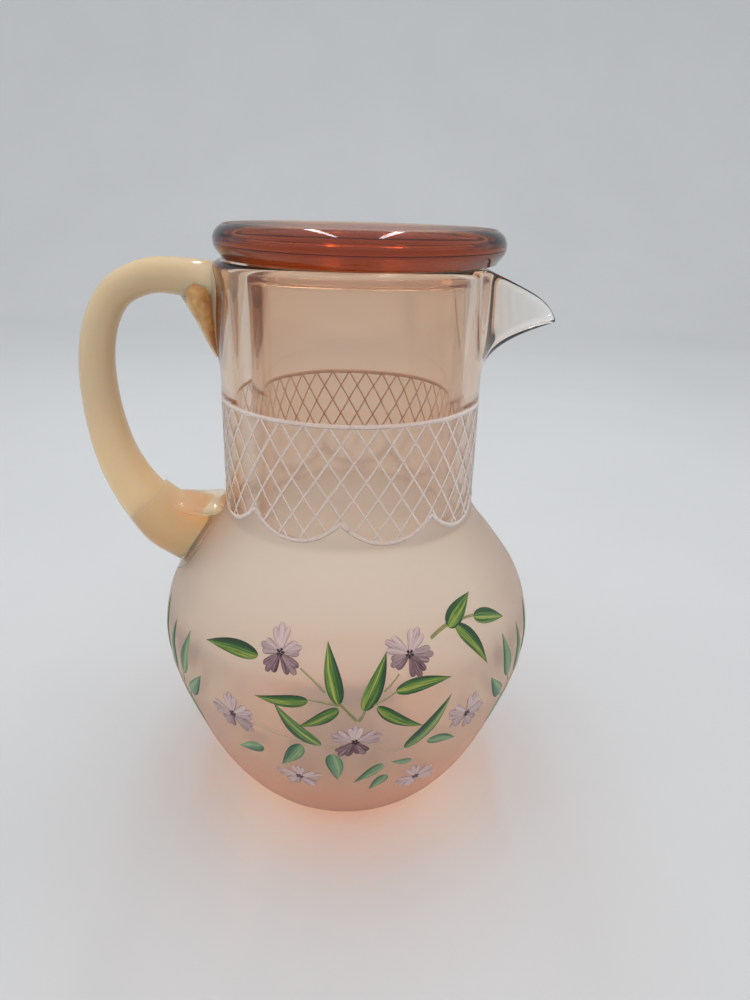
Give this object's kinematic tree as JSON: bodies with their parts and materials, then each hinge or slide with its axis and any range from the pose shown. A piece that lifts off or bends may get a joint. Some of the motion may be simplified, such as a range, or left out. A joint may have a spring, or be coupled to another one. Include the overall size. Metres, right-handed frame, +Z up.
{
  "type": "covered water jug",
  "caption": "Round-bellied glass water jug with a pulled spout and an opal loop handle; a drinking tumbler hangs in its neck as the lid.",
  "frame": {"origin": "centre of the flat that the jug stands on", "axes": "+Z up, +X towards the spout, -X towards the handle"},
  "size_m": [0.1396, 0.1172, 0.18],
  "materials": {
    "champagne_glass": "clear polished neck, acid-frosted belly",
    "opal_glass": "fire polished, milky cream",
    "rose_amber_glass": "polished, clear"
  },
  "bodies": {
    "jug": {"jug_vessel": "champagne_glass", "handle": "opal_glass"},
    "tumbler": {"tumbler": "rose_amber_glass"}
  },
  "joints": [
    {"name": "tumbler_lift", "type": "slide", "parent": "jug", "child": "tumbler", "axis": [0, 0, 1], "range_m": [0, 0.09]}
  ]
}
